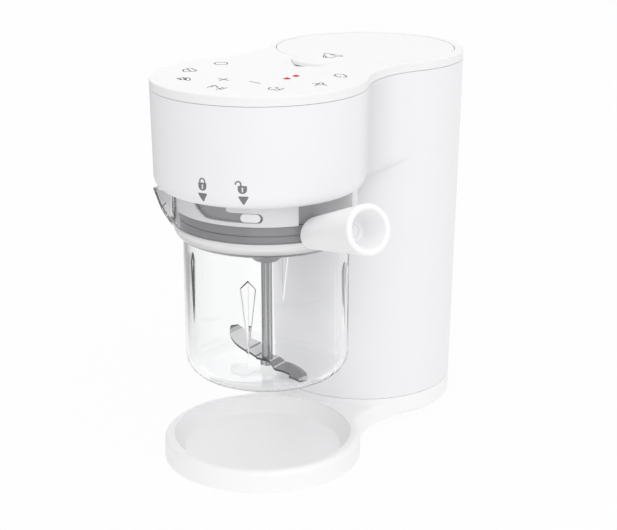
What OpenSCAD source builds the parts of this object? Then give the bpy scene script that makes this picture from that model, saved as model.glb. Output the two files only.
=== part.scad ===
// Baby food steamer blender: a round column holds the water and the steam maker,
// and a head in front of it holds the motor and carries a hanging clear jar.
// The origin is on the ground under the axis of the head and of the round tray.

/* [Overall] */
// height of the top panel above the ground
overall_height = 250; // [244:1:258]
// radius of the head at the top panel
head_radius = 67; // [66:0.5:68.5]
// radius of the column at the top panel
column_radius = 66; // [65:0.5:68]
// distance from the head's axis back to the column's axis
column_offset = 124; // [122:1:127]
// radius of the hollow on each side between head and column
waist_radius = 70; // [55:1:90]
// lean of the walls, in degrees
draft_angle = 1; // [0.6:0.1:1.2]
// thickness of the moulded walls
wall = 2.6; // [2.2:0.1:3]

/* [Head] */
// height of the head from its flat underside to the top panel
head_height = 68; // [66:0.5:71]
// rounding of the head's lower edge
head_round = 8; // [6:0.5:10]
// thickness of the top panel
panel_thickness = 6; // [5.6:0.2:7]

/* [Base] */
// height of the seam between base and column
base_height = 19; // [18:0.5:22]
// outer radius of the tray
tray_radius = 64; // [62:0.5:66]
// radius of the tray's flat floor
tray_floor_radius = 50.7; // [50:0.1:52]
// radius of the hollow on each side of the base
base_waist_radius = 36; // [30:1:46]

/* [Jar] */
// distance from the head's axis back to the jar's axis
jar_offset = 6; // [5:0.5:7]
// outer radius of the jar's body
jar_radius = 52.6; // [52:0.1:53.4]
// outer radius of the jar's neck
jar_neck_radius = 58.2; // [57.8:0.1:58.6]
// height of the jar from its foot to the top of the neck
jar_height = 124.2; // [118:0.2:130]
// wall of the jar
jar_wall = 2.6; // [2.2:0.1:2.8]
// angle that the jar turns between locked and unlocked
turn_angle = 22; // [18:1:24]

/* [Handle] */
// direction of the handle, in degrees from the front towards the right
handle_azimuth = 65; // [60:1:68]
// rise of the handle above the horizontal, in degrees
handle_rise = 16.3; // [14:0.1:19]
// length of the handle outside the neck
handle_length = 61.2; // [56:0.2:68]
// radius of the handle's open end
handle_end_radius = 14.9; // [14.3:0.1:15.6]

/* [Blade] */
// radius swept by the blade
blade_radius = 42; // [38:0.5:43]
// radius of the blade's shaft
shaft_radius = 3.5; // [3:0.1:4]

/* [Tank] */
// width of the rim round the tank's lid
lid_rim = 6; // [5.2:0.2:7]
// depth of the water tank
tank_depth = 92; // [80:1:98]

/* [Hidden] */
$fn = 96;
eps = 0.05;
seam = 0.3;
gap = 0.35;
slope = tan(draft_angle);
floor_t = 3;
edge = 0.9;

// levels of the head
head_bottom = overall_height - head_height;
shell_top = overall_height - panel_thickness;
panel_z = shell_top + seam;
floor_z = head_bottom + floor_t;
col = [0, column_offset, 0];
jar_axis = [0, jar_offset, 0];

// centre of the hollows between two round lobes
function hollow_y(a, b, r) = (pow(a + r, 2) - pow(b + r, 2) + pow(column_offset, 2)) / (2 * column_offset);
function hollow_x(a, b, r) = sqrt(pow(a + r, 2) - pow(hollow_y(a, b, r), 2));
waist_y = hollow_y(head_radius, column_radius, waist_radius);
waist_x = hollow_x(head_radius, column_radius, waist_radius);
function lean(z) = (overall_height - z) * slope;
function head_r(z) = head_radius - lean(z);
function col_r(z) = column_radius - lean(z);

// levels of the jar, measured down from the head
neck_top = head_bottom - 0.8;
jar_foot = neck_top - jar_height;
neck_in = jar_neck_radius - 2;
body_in = jar_radius - jar_wall;
shoulder_z = neck_top - 24.7;
ledge_z = shoulder_z + 0.2;
gasket_h = 6;
rim_z = ledge_z + gasket_h;
lid_top = rim_z + 5.6;
dish_r = body_in - 0.5;
dish_z = rim_z - 7.2;
hub_z = shoulder_z - 26.2;
corner_r = 14;
// height of the handle's axis where it leaves the neck
handle_z = shoulder_z + 6.3;
blade_z = jar_foot + jar_wall + 4.2;
blade_t = 1.4;

// levels of the drive
socket_z = head_bottom - 3.3;
dog_z = lid_top + 3.2;
dog_h = 6;
skirt_r = neck_in - 2.2;
skirt_z = lid_top + 2.2;
bush_top = lid_top - 1.8;
mount_z = floor_z + 7;
can_z = mount_z + 3;
can_r = 24;
can_top = shell_top - 10;
board_z = shell_top - 5.4;
board_t = 1.6;
skin_z = overall_height - 3;
motor_r = 28;
socket_screw_r = 44;
nozzle_at = [-24, jar_offset + 30, 0];

// hollows in the front of the column that clear the jar's neck and body
recess_r = jar_neck_radius + 1.3;
recess_z = neck_top - 43;
way_r = jar_radius + 1;
way_z = jar_foot - 2;

// bayonet
track_in = skirt_r + 0.4;
track_out = neck_in - 0.05;
track_z = lid_top + 0.1;
lug_azimuth = 25.5;
lug_w = 12;
lug_h = 5.2;
lug_z = track_z + 5.35;

// tank and lid
lid_radius = column_radius - lid_rim;
tank_r = lid_radius - 3;
tank_top = shell_top - 1;
tank_z = tank_top - tank_depth;
tank_flat = column_radius - 30;
tank_t = 2;
lid_z = overall_height - 3.7;
opening_r = lid_radius - 4;
scoop_y = column_offset - lid_radius - 10.5;
tongue_w = 14.5;
tongue_r = 22;

// base and column inside
lobe_r = col_r(base_height);
lobe_z = 5.5;
lobe_floor = lobe_z + floor_t;
base_waist_y = hollow_y(tray_radius, lobe_r, base_waist_radius);
base_waist_x = hollow_x(tray_radius, lobe_r, base_waist_radius);
rim_r = 4;
rim_top = 15.2;
tray_floor = 5.5;
post_r = column_radius - 13.5;
post_top = base_height + 5.7;
chassis_z = base_height + 11;
chassis_t = 3;
deck = chassis_z + chassis_t;
chassis_r = column_radius - 26;
boiler_at = [-24, column_offset, 0];
pump_at = [26, column_offset, 0];
boiler_z = deck + 12;
boiler_h = tank_z - boiler_z - 51;
pump_z = deck + 15;
pump_h = 44;
pipe_z = boiler_z + 14;
gland_z = base_height + 27;
hose_r = 4.6;
hose_in = 3.05;
hose_room = 12;

// board, clips, vents and feet
board_y = column_radius - 25;
board_half = 35;
clip_x = board_half - 3;
vent_step = lobe_r / 6;
vent_half = lobe_r / 4;
foot_r = tray_floor_radius - 0.7;
foot_w = 6;
lobe_foot_r = column_radius - 19;
lobe_foot_w = 11;

// icons on the panel, each one over a touch spring
icons = [[-41.8, 17.4], [-44.3, -11.7], [-29.9, -36.2], [-8.5, -25.1], [3.2, -45.5],
         [12.8, -22.4], [33.9, -31.1], [47.4, -5.5], [43.9, 22.6]];
lights = [[20.4, 0.1], [20.2, 10.1]];
board_points = [[-50, 0], [50, 8], [0, -38], [0, 29]];

// Shared shapes

// a tube with flat ends
module tube(r_out, r_in, h) {
    difference() {
        cylinder(r = r_out, h = h);
        translate([0, 0, -1])
            cylinder(r = r_in, h = h + 2);
    }
}

// a leaning round lobe whose lower edge is rounded
module lobe(r_low, r_high, z0, z1, rounding) {
    rotate_extrude() {
        polygon([[0, z0 + rounding], [r_low, z0 + rounding], [r_high, z1], [0, z1]]);
        if (rounding > 0) {
            translate([0, z0])
                square([r_low - rounding, rounding]);
            intersection() {
                translate([r_low - rounding, z0 + rounding])
                    circle(r = rounding);
                translate([r_low - rounding, z0])
                    square([rounding, rounding]);
            }
        }
    }
}

// a disc whose upper edge is rounded
module disc(r, z0, z1) {
    translate([0, 0, z0 + z1])
        mirror([0, 0, 1])
            lobe(r, r, z0, z1, edge);
}

// the hollow cut at each side of the waist, flared by the rounding at its foot
module hollow(r_low, r_high, z0, z1, rounding) {
    rotate_extrude() {
        polygon([[0, z0 - 1], [r_low, z0 - 1], [r_low, z0 + rounding], [r_high, z1 + 1], [0, z1 + 1]]);
        if (rounding > 0)
            difference() {
                translate([r_low - 0.01, z0 - 1])
                    square([rounding + 0.01, rounding + 1]);
                translate([r_low + rounding, z0 + rounding])
                    circle(r = rounding);
            }
    }
}

// the peanut outline of head, waist and column; the column can start lower down
module peanut(inset, z0, z1, rounding, col_z0) {
    lobe(head_r(z0 + rounding) - inset, head_r(z1) - inset, z0, z1, rounding);
    difference() {
        translate([0, 0, z0])
            linear_extrude(height = z1 - z0)
                polygon([[0, 0], [waist_x, waist_y], [0, column_offset], [-waist_x, waist_y]]);
        for (s = [-1, 1])
            translate([s * waist_x, waist_y, 0])
                hollow(waist_radius + lean(z0 + rounding) + inset + eps,
                       waist_radius + lean(z1) + inset + eps, z0, z1, rounding);
    }
    translate([0, column_offset, col_z0])
        cylinder(r1 = col_r(col_z0) - inset, r2 = col_r(z1) - inset, h = z1 - col_z0);
}

// the same outline as a flat slab whose upper edge is rounded
module slab(z0, z1, rounding) {
    translate([0, 0, z0 + z1])
        mirror([0, 0, 1]) {
            lobe(head_r(z1 - rounding), head_r(z0), z0, z1, rounding);
            translate(col)
                lobe(col_r(z1 - rounding), col_r(z0), z0, z1, rounding);
            difference() {
                translate([0, 0, z0])
                    linear_extrude(height = z1 - z0)
                        polygon([[0, 0], [waist_x, waist_y], [0, column_offset], [-waist_x, waist_y]]);
                for (s = [-1, 1])
                    translate([s * waist_x, waist_y, 0])
                        hollow(waist_radius + lean(z1 - rounding) + eps,
                               waist_radius + lean(z0) + eps, z0, z1, rounding);
            }
        }
}

// a pan-head screw, its shank pointing up from the head
module screw(head_r, head_h, shank_r, shank_h) {
    difference() {
        cylinder(r = head_r, h = head_h);
        for (a = [0, 90])
            rotate([0, 0, a])
                translate([-head_r * 0.6, -0.5, -1])
                    cube([head_r * 1.2, 1, 1 + head_h * 0.5]);
    }
    translate([0, 0, head_h - eps])
        cylinder(r = shank_r, h = shank_h + eps);
}

// copies at equal angles about the z axis
module ring(n, r, first = 0) {
    for (k = [0 : n - 1])
        rotate([0, 0, first + 360 * k / n])
            translate([r, 0, 0])
                children();
}

// the four places where the chassis is screwed down
module chassis_ring() {
    for (a = [60, 120, 240, 300])
        rotate([0, 0, a])
            translate([chassis_r, 0, 0])
                children();
}

// points the x axis along a direction counted from the front towards the right
module azimuth(a) {
    rotate([0, 0, a - 90])
        children();
}

// a quarter bend of a tube in the y-z plane
module bend(r_bend, r_out, r_in) {
    rotate([90, 0, 90])
        rotate_extrude(angle = 90)
            translate([r_bend, 0])
                difference() {
                    circle(r = r_out);
                    circle(r = r_in);
                }
}

// Base

// section of the tray: flat floor, sloping wall and round rim over a hollow underside
module tray_section() {
    difference() {
        union() {
            translate([0, 0.8])
                square([tray_radius, rim_top - rim_r - 0.8]);
            translate([0, rim_top - rim_r - eps])
                square([tray_radius - rim_r, rim_r + eps]);
            translate([tray_radius - rim_r, rim_top - rim_r])
                circle(r = rim_r);
        }
        polygon([[-1, tray_floor], [tray_floor_radius, tray_floor],
                 [tray_radius - rim_r - 2.3, rim_top - 0.75],
                 [tray_radius - rim_r - 2.3, rim_top + 1], [-1, rim_top + 1]]);
        polygon([[tray_floor_radius + 1.5, 0], [tray_radius - wall, 0],
                 [tray_radius - wall, rim_top - 5.2], [tray_radius - 4, rim_top - 4],
                 [tray_radius - 5.5, rim_top - 4], [tray_floor_radius + 1.5, tray_floor - 2.5]]);
        polygon([[-1, 0], [tray_floor_radius + 1.6, 0], [tray_floor_radius + 1.6, tray_floor - 2.5],
                 [-1, tray_floor - 2.5]]);
    }
}

// the bridge between tray and lobe, its upper edges rounded like the rim
module base_bridge(inset, z0, z1, rounding) {
    difference() {
        translate([0, 0, z0])
            linear_extrude(height = z1 - z0)
                polygon([[0, 0], [base_waist_x, base_waist_y], [0, column_offset],
                         [-base_waist_x, base_waist_y]]);
        for (s = [-1, 1])
            translate([s * base_waist_x, base_waist_y, z0 + z1])
                mirror([0, 0, 1])
                    hollow(base_waist_radius + inset + eps, base_waist_radius + inset + eps,
                           z0, z1, rounding);
        translate([0, 0, z0 - 1])
            cylinder(r = tray_radius - rim_r + inset, h = z1 - z0 + 2);
        translate(col + [0, 0, z0 - 1])
            cylinder(r = lobe_r - 1.2 + inset, h = z1 - z0 + 2);
    }
}

// the cove that carries the bridge up to the seam in front of the column
module base_cove() {
    intersection() {
        translate(col)
            rotate_extrude()
                difference() {
                    translate([lobe_r - 1, rim_top - 0.5])
                        square([1 + base_height - rim_top, base_height - rim_top + 0.5]);
                    translate([lobe_r + base_height - rim_top, base_height])
                        circle(r = base_height - rim_top);
                }
        base_bridge(rim_r, rim_top - 1, base_height + 1, 0);
    }
}

module base_shell() {
    color("#f1f1f3")
    difference() {
        union() {
            rotate_extrude()
                tray_section();
            difference() {
                base_bridge(0, 1, rim_top, rim_r);
                base_bridge(wall, 0, rim_top - wall, 0);
                rotate([90, 0, 90])
                    translate([0, 0, -80])
                        linear_extrude(height = 160)
                            polygon([[tray_radius - 16, 0.5], [column_offset, 0.5],
                                     [column_offset, lobe_z], [column_offset - lobe_r + 30, lobe_z]]);
            }
            base_cove();
            translate(col) {
                rotate_extrude()
                    difference() {
                        union() {
                            translate([0, lobe_z + 3])
                                square([lobe_r, base_height - lobe_z - 3]);
                            translate([0, lobe_z])
                                square([lobe_r - 3, 3 + eps]);
                            translate([lobe_r - 3, lobe_z + 3])
                                circle(r = 3);
                        }
                        translate([-1, lobe_floor])
                            square([lobe_r - wall + 1, base_height]);
                    }
                translate([0, 0, lobe_floor - 1])
                    tube(lobe_r - wall - 0.4, lobe_r - wall - 2.4, post_top - lobe_floor);
                ring(4, post_r, 45)
                    translate([0, 0, lobe_floor - 1])
                        cylinder(r = 4.5, h = post_top - lobe_floor + 1);
                chassis_ring()
                    translate([0, 0, lobe_floor - 1])
                        cylinder(r = 4, h = chassis_z - lobe_floor + 1);
            }
        }
        translate(col) {
            ring(4, post_r, 45) {
                translate([0, 0, -1])
                    cylinder(r = 3.5, h = 15);
                translate([0, 0, 13])
                    cylinder(r = 1.8, h = post_top);
            }
            chassis_ring()
                translate([0, 0, lobe_floor + 2])
                    cylinder(r = 1.65, h = chassis_z);
            for (k = [-2 : 2])
                translate([k * vent_step - 2, -vent_half, -1])
                    cube([4, 2 * vent_half, base_height]);
        }
    }
}

module foot_rings() {
    color("#3a3a3c") {
        tube(foot_r, foot_r - foot_w, tray_floor - 2.5);
        translate(col)
            difference() {
                tube(lobe_foot_r, lobe_foot_r - lobe_foot_w, lobe_z);
                translate([0, 0, -1])
                    tube(lobe_foot_r - 3, lobe_foot_r - lobe_foot_w + 3, 2);
            }
    }
}

module base_screws() {
    color("#8d9095")
    translate(col)
        ring(4, post_r, 45)
            translate([0, 0, 11.6])
                screw(3.2, 2.4, 1.6, 22);
}

// Column inside

module chassis() {
    color("#55585d")
    translate(col) {
        difference() {
            translate([0, 0, chassis_z])
                cylinder(r = post_r + 3.5, h = chassis_t);
            ring(4, post_r, 45)
                translate([0, 0, chassis_z - 1])
                    cylinder(r = 5.4, h = chassis_t + 2);
            chassis_ring()
                translate([0, 0, chassis_z - 1])
                    cylinder(r = 1.8, h = chassis_t + 2);
            translate([0, 0, chassis_z - 1])
                cylinder(r = 7, h = chassis_t + 2);
        }
        for (x = [-clip_x, clip_x])
            translate([x - 1.5, board_y + 3.4, deck - eps])
                cube([3, 3, 12]);
    }
}

module chassis_screws() {
    color("#8d9095")
    translate(col)
        chassis_ring()
            translate([0, 0, deck + 2.2])
                mirror([0, 0, 1])
                    screw(3.2, 2.2, 1.55, 14);
}

module water_pump() {
    color("#2f3134")
    translate(pump_at) {
        translate([0, 0, pump_z])
            cylinder(r = 18, h = pump_h);
        for (k = [1 : 3])
            translate([0, 0, pump_z + k * 11])
                cylinder(r = 18.8, h = 2.4);
        translate([0, 0, pump_z + pump_h - eps])
            tube(8, 1.6, 4);
        translate([0, 0, pump_z + pump_h])
            tube(3, 1.6, 16);
        translate([-16, 0, pipe_z])
            rotate([0, -90, 0])
                difference() {
                    cylinder(r = 3, h = 6.5);
                    translate([0, 0, 3])
                        cylinder(r = 1.6, h = 5);
                }
    }
}

module pump_mount() {
    color("#3a3a3c")
    translate(pump_at + [0, 0, deck])
        difference() {
            cylinder(r = 15, h = pump_z - deck);
            translate([0, 0, -1])
                cylinder(r = 9, h = pump_z - deck + 2);
            for (a = [0, 60, 120])
                rotate([0, 0, a])
                    translate([-20, -2, 4])
                        cube([40, 4, 5]);
        }
}

module feed_hose() {
    color("#d8dde0")
    translate(pump_at + [0, 0, pump_z + pump_h + 5])
        tube(hose_r, hose_in, tank_z - 1.5 - pump_z - pump_h - 5);
}

module delivery_hose() {
    color("#d8dde0")
    translate([6.8, column_offset, pipe_z])
        rotate([0, -90, 0])
            tube(hose_r, hose_in, 8.2);
}

module steam_boiler() {
    color("#b9bcc0")
    translate(boiler_at) {
        translate([0, 0, boiler_z])
            cylinder(r = 21, h = boiler_h);
        for (k = [0, 1])
            translate([0, 0, boiler_z + 3 + k * (boiler_h - 9)])
                cylinder(r = 22, h = 3);
        translate([0, 0, boiler_z + boiler_h - eps])
            tube(3, 1.6, 14);
        translate([19, 0, pipe_z])
            rotate([0, 90, 0])
                difference() {
                    cylinder(r = 3, h = 7);
                    translate([0, 0, 3])
                        cylinder(r = 1.6, h = 5);
                }
        for (x = [-13, -9])
            translate([x, -8, boiler_z + boiler_h - eps])
                cube([1, 6, 9]);
    }
}

module boiler_mount() {
    color("#c9b48a")
    translate(boiler_at + [0, 0, deck])
        difference() {
            cylinder(r = 19, h = boiler_z - deck);
            translate([0, 0, -1])
                cylinder(r = 13, h = boiler_z - deck + 2);
            for (a = [30, 90, 150])
                rotate([0, 0, a])
                    translate([-30, -3, 3])
                        cube([60, 6, 5]);
        }
}

module thermal_cutout() {
    color("#2a2a2c")
    translate(boiler_at + [2, 11.5, boiler_z + boiler_h]) {
        cylinder(r = 7, h = 5);
        for (x = [-3.4, 2.4])
            translate([x, -2, 4.9])
                cube([1, 4, 8]);
    }
}

// the steam line: up from the boiler, forward, up past the tank and forward into the head
module steam_hose() {
    y1 = column_offset - tank_flat - hose_room;
    y2 = nozzle_at[1];
    z0 = boiler_z + boiler_h + 2;
    z1 = z0 + 22;
    z2 = floor_z + 26;
    b = 9;
    color("#e6e6e4")
    translate([boiler_at[0], 0, 0]) {
        translate([0, column_offset, z0])
            tube(hose_r, hose_in, z1 - z0 - b);
        translate([0, column_offset - b, z1 - b])
            bend(b, hose_r, hose_in);
        translate([0, column_offset - b, z1])
            rotate([90, 0, 0])
                tube(hose_r, hose_in, column_offset - y1 - 2 * b);
        translate([0, y1 + b, z1 + b])
            rotate([180, 0, 0])
                bend(b, hose_r, hose_in);
        translate([0, y1, z1 + b])
            tube(hose_r, hose_in, z2 - z1 - 2 * b);
        translate([0, y1 - b, z2 - b])
            bend(b, hose_r, hose_in);
        translate([0, y1 - b, z2])
            rotate([90, 0, 0])
                tube(hose_r, hose_in, y1 - y2 - 2 * b);
        translate([0, y2 + b, z2 - b])
            mirror([0, 1, 0])
                bend(b, hose_r, hose_in);
        translate([0, y2, floor_z + 8])
            tube(hose_r, hose_in, z2 - b - floor_z - 8);
    }
}

module power_board() {
    color("#3f6b4f")
    translate(col + [0, board_y, deck]) {
        translate([-board_half, 1.6, 0])
            cube([2 * board_half, 1.6, 76]);
        translate([-28, -11.4, 30])
            cube([24, 13, 20]);
        translate([4, -7.4, 40])
            cube([14, 9, 18]);
        translate([24, 1.7, 34])
            rotate([90, 0, 0])
                cylinder(r = 6, h = 14);
        for (k = [0 : 3])
            translate([-26 + k * 16, -3.4, 62])
                cube([10, 5, 8]);
    }
}

module cord_gland() {
    out = col_r(gland_z);
    color("#e2e2e4")
    translate(col + [0, 0, gland_z])
        rotate([-90, 0, 0])
            difference() {
                union() {
                    translate([0, 0, out - 8])
                        cylinder(r = 5.7, h = 14);
                    translate([0, 0, out + 0.4])
                        cylinder(r = 8.5, h = 2.4);
                    translate([0, 0, out - wall - 4])
                        cylinder(r = 8.5, h = 3);
                }
                translate([0, 0, out - 9])
                    cylinder(r = 3.6, h = 20);
            }
}

// Shell and panel

module body_shell() {
    color("#f4f4f6")
    difference() {
        union() {
            difference() {
                peanut(0, head_bottom, shell_top, head_round, base_height + seam);
                difference() {
                    peanut(wall, floor_z, shell_top + 1, head_round - wall, base_height - 1);
                    translate(jar_axis + [0, 0, recess_z - wall])
                        cylinder(r = recess_r + wall, h = floor_z - recess_z + wall);
                    translate(jar_axis + [0, 0, way_z - wall])
                        cylinder(r = way_r + wall, h = recess_z - way_z);
                }
                translate(jar_axis + [0, 0, recess_z])
                    cylinder(r = recess_r, h = head_bottom - recess_z);
                translate(jar_axis + [0, 0, way_z])
                    cylinder(r = way_r, h = recess_z - way_z + eps);
            }
            translate(jar_axis) {
                ring(4, motor_r, 0)
                    translate([0, 0, floor_z - 1])
                        cylinder(r = 4.5, h = 5);
                ring(4, socket_screw_r, 0)
                    translate([0, 0, floor_z - 1])
                        cylinder(r = 4, h = 9);
            }
            translate(col) {
                for (a = [-30 : 60 : 210])
                    rotate([0, 0, a])
                        translate([tank_r + 1.2, -1.25, shell_top - 40])
                            cube([col_r(shell_top - 40) - tank_r - 2.4, 2.5, tank_top - 3.7 - shell_top + 40]);
                ring(4, post_r, 45) {
                    translate([0, 0, post_top + seam])
                        cylinder(r = 4.5, h = 20);
                    translate([0, -1.25, post_top + seam])
                        cube([lobe_r - post_r - 1.2, 2.5, 20]);
                }
            }
        }
        translate(jar_axis) {
            translate([0, 0, head_bottom - 1])
                cylinder(r = 16, h = 6);
            ring(4, motor_r, 0)
                translate([0, 0, floor_z - 1])
                    cylinder(r = 1.65, h = 8);
            ring(4, socket_screw_r, 0)
                translate([0, 0, head_bottom - 1])
                    cylinder(r = 1.65, h = 9);
        }
        translate(nozzle_at + [0, 0, head_bottom - 1])
            cylinder(r = 4.3, h = 6);
        translate(col) {
            ring(4, post_r, 45)
                translate([0, 0, post_top - 1])
                    cylinder(r = 1.7, h = 16);
            translate([0, 0, gland_z])
                rotate([-90, 0, 0])
                    cylinder(r = 6, h = 80);
        }
    }
}

// plan of the lid: a round disc with a thumb tongue at the front
module lid_plan(grow) {
    translate([0, column_offset])
        circle(r = lid_radius + grow);
    intersection() {
        translate([-tongue_w - grow, scoop_y - 10])
            square([2 * (tongue_w + grow), 40]);
        translate([0, scoop_y + 19.5])
            circle(r = tongue_r + grow);
    }
}

module top_panel() {
    lip = head_r(shell_top) - wall - 0.4;
    color("#fafafb")
    difference() {
        union() {
            slab(panel_z, overall_height, edge);
            difference() {
                translate([0, 0, shell_top - 3.6])
                    tube(lip, lip - 2, 5);
                translate([-80, 18, shell_top - 5])
                    cube([160, 80, 8]);
            }
        }
        difference() {
            translate([0, 0, panel_z - 1])
                cylinder(r = head_radius - 9, h = skin_z - panel_z + 1);
            translate([-80, 33, panel_z - 2])
                cube([160, 60, 12]);
            for (p = board_points)
                translate([p[0], p[1], panel_z - 2])
                    cylinder(r = 3.4, h = 12);
        }
        translate([0, 0, lid_z - seam])
            linear_extrude(height = 10)
                lid_plan(gap);
        translate(col + [0, 0, panel_z - 1])
            cylinder(r = opening_r, h = 20);
        translate([0, scoop_y, overall_height + 26])
            sphere(r = 30.2);
        for (p = lights)
            translate([p[0], p[1], panel_z])
                cylinder(r = 1.6, h = 10);
        for (p = board_points)
            translate([p[0], p[1], panel_z - 2])
                cylinder(r = 1.15, h = 3.6);
    }
}

module control_board() {
    color("#2f5d46") {
        difference() {
            translate([0, 0, board_z])
                cylinder(r = head_radius - 11, h = board_t);
            translate([-80, 36, board_z - 1])
                cube([160, 60, 4]);
            for (p = board_points)
                translate([p[0], p[1], board_z - 1])
                    cylinder(r = 1.3, h = 4);
        }
        for (p = [[-20, 30], [20, 28]])
            translate([p[0] - 5, p[1] - 4, board_z - 3])
                cube([10, 8, 3 + eps]);
        for (p = [[-26, -14], [27, -10]])
            translate([p[0] - 4, p[1] - 4, board_z - 1.6])
                cube([8, 8, 1.6 + eps]);
    }
}

module board_screws() {
    color("#8d9095")
    for (p = board_points)
        translate([p[0], p[1], board_z - 1.4])
            screw(2.4, 1.4, 1.05, board_t + 1.8);
}

module touch_springs() {
    color("#c7a45a")
    for (p = icons)
        translate([p[0], p[1], board_z + board_t])
            tube(4, 2.6, skin_z - board_z - board_t);
}

module light_pipes() {
    color("#e0362c")
    for (p = lights)
        translate([p[0], p[1], board_z + board_t])
            cylinder(r = 1.5, h = overall_height - board_z - board_t);
}

// Water tank

// plan of the tank: round with a flat at the front, where hoses pass
module tank_plan(inset) {
    intersection() {
        circle(r = tank_r - inset);
        translate([-80, -tank_flat + inset])
            square([160, 160]);
    }
}

module water_tank() {
    color("#e4ecf0", 0.8)
    translate(col)
        difference() {
            union() {
                translate([0, 0, tank_z])
                    linear_extrude(height = tank_depth - 1)
                        tank_plan(0);
                translate([0, 0, tank_top - 3.7])
                    cylinder(r = lid_radius + 0.5, h = 3.7);
                translate([pump_at[0], 0, tank_z - 12])
                    cylinder(r = 3, h = 13);
                translate([pump_at[0], 0, tank_z - 1])
                    cylinder(r = 6.5, h = 2);
            }
            translate([0, 0, tank_z + tank_t])
                linear_extrude(height = tank_depth + 5)
                    tank_plan(tank_t);
            translate([pump_at[0], 0, tank_z - 14])
                cylinder(r = 1.7, h = 20);
        }
}

module tank_lid() {
    color("#fafafb") {
        translate(col)
            disc(lid_radius, overall_height - 2.4, overall_height);
        intersection() {
            translate([-tongue_w, scoop_y - 10, overall_height - 3])
                cube([2 * tongue_w, 40, 4]);
            translate([0, scoop_y + 19.5, 0])
                disc(tongue_r, overall_height - 2.4, overall_height);
        }
        translate(col + [0, 0, lid_z])
            cylinder(r = lid_radius, h = 1.4);
        translate(col + [0, 0, lid_z - 2.2])
            tube(opening_r - 4.6, opening_r - 6.6, 2.4);
    }
}

module lid_seal() {
    color("#b9bcc0")
    translate(col + [0, 0, lid_z - 2.6])
        difference() {
            tube(opening_r - gap, opening_r - 4.5, 2.6);
            translate([0, 0, 0.8])
                tube(opening_r, opening_r - 1.5, 0.9);
        }
}

// Motor and drive

module motor_can() {
    color("#a9adb2")
    translate(jar_axis) {
        difference() {
            union() {
                translate([0, 0, can_z])
                    cylinder(r = can_r, h = can_top - can_z);
                translate([0, 0, can_top - eps])
                    cylinder(r = 8, h = 3);
                translate([0, 0, can_z - 4])
                    cylinder(r = 8, h = 5);
            }
            translate([0, 0, can_z + 2])
                cylinder(r = can_r - 2, h = can_top - can_z - 4);
            translate([0, 0, can_z - 6])
                cylinder(r = 3.05, h = 80);
            ring(6, can_r - 9, 30)
                translate([0, 0, can_top - 3])
                    cylinder(r = 4, h = 6);
        }
        difference() {
            translate([0, 0, can_z])
                tube(can_r + 3, can_r - 1, 2);
            ring(4, motor_r, 0)
                translate([0, 0, can_z - 1])
                    cylinder(r = 4.6, h = 5);
        }
    }
}

module motor_magnets() {
    color("#4a4a50")
    translate(jar_axis + [0, 0, can_z + 6])
        intersection() {
            tube(can_r - 2.05, can_r - 8, can_top - can_z - 12);
            for (a = [0, 180])
                rotate([0, 0, a])
                    translate([2, -15, -1])
                        cube([60, 30, 80]);
        }
}

module armature() {
    color("#b87a4b")
    translate(jar_axis) {
        translate([0, 0, socket_z - 1])
            cylinder(r = 3, h = can_top + 2.5 - socket_z);
        difference() {
            translate([0, 0, can_z + 7])
                cylinder(r = can_r - 9, h = can_top - can_z - 14);
            ring(10, can_r - 11, 0)
                translate([0, -1.6, can_z])
                    cube([8, 3.2, 60]);
        }
    }
}

module motor_mount() {
    color("#c3c6ca")
    translate(jar_axis + [0, 0, mount_z])
        difference() {
            cylinder(r = 33, h = 3);
            translate([0, 0, -1])
                cylinder(r = 12, h = 5);
            ring(4, motor_r, 0)
                translate([0, 0, -1])
                    cylinder(r = 2, h = 5);
        }
}

module motor_dampers() {
    color("#2c2c2e")
    translate(jar_axis)
        ring(4, motor_r, 0)
            translate([0, 0, floor_z + 4])
                tube(4.5, 2, mount_z - floor_z - 4);
}

module motor_screws() {
    color("#8d9095")
    translate(jar_axis)
        ring(4, motor_r, 0)
            translate([0, 0, can_z + 2.4])
                mirror([0, 0, 1])
                    screw(3.4, 2.4, 1.55, can_z - floor_z - 0.5);
}

// a hub with three dogs standing on it
module dogs(hub_z0, hub_z1, dog_z0, dog_z1, first) {
    translate([0, 0, hub_z0])
        cylinder(r = 10.5, h = hub_z1 - hub_z0);
    intersection() {
        translate([0, 0, dog_z0])
            tube(10.5, 5.5, dog_z1 - dog_z0);
        ring(3, 0, first)
            translate([0, 0, dog_z0 - 1])
                linear_extrude(height = dog_z1 - dog_z0 + 2)
                    polygon([[0, 0], [20, -8], [20, 8]]);
    }
}

module drive_coupling() {
    color("#4c4f54")
    translate(jar_axis)
        difference() {
            dogs(dog_z + dog_h + 0.8, can_z - 4.5, dog_z + 0.4, dog_z + dog_h + 0.9, 60);
            translate([0, 0, dog_z])
                cylinder(r = 3.02, h = 40);
        }
}

module driven_coupling() {
    color("#4c4f54")
    translate(jar_axis)
        difference() {
            dogs(bush_top + 0.6, dog_z, dog_z - 0.1, dog_z + dog_h + 0.3, 0);
            translate([0, 0, bush_top - 1])
                cylinder(r = shaft_radius + 0.02, h = 30);
        }
}

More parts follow.
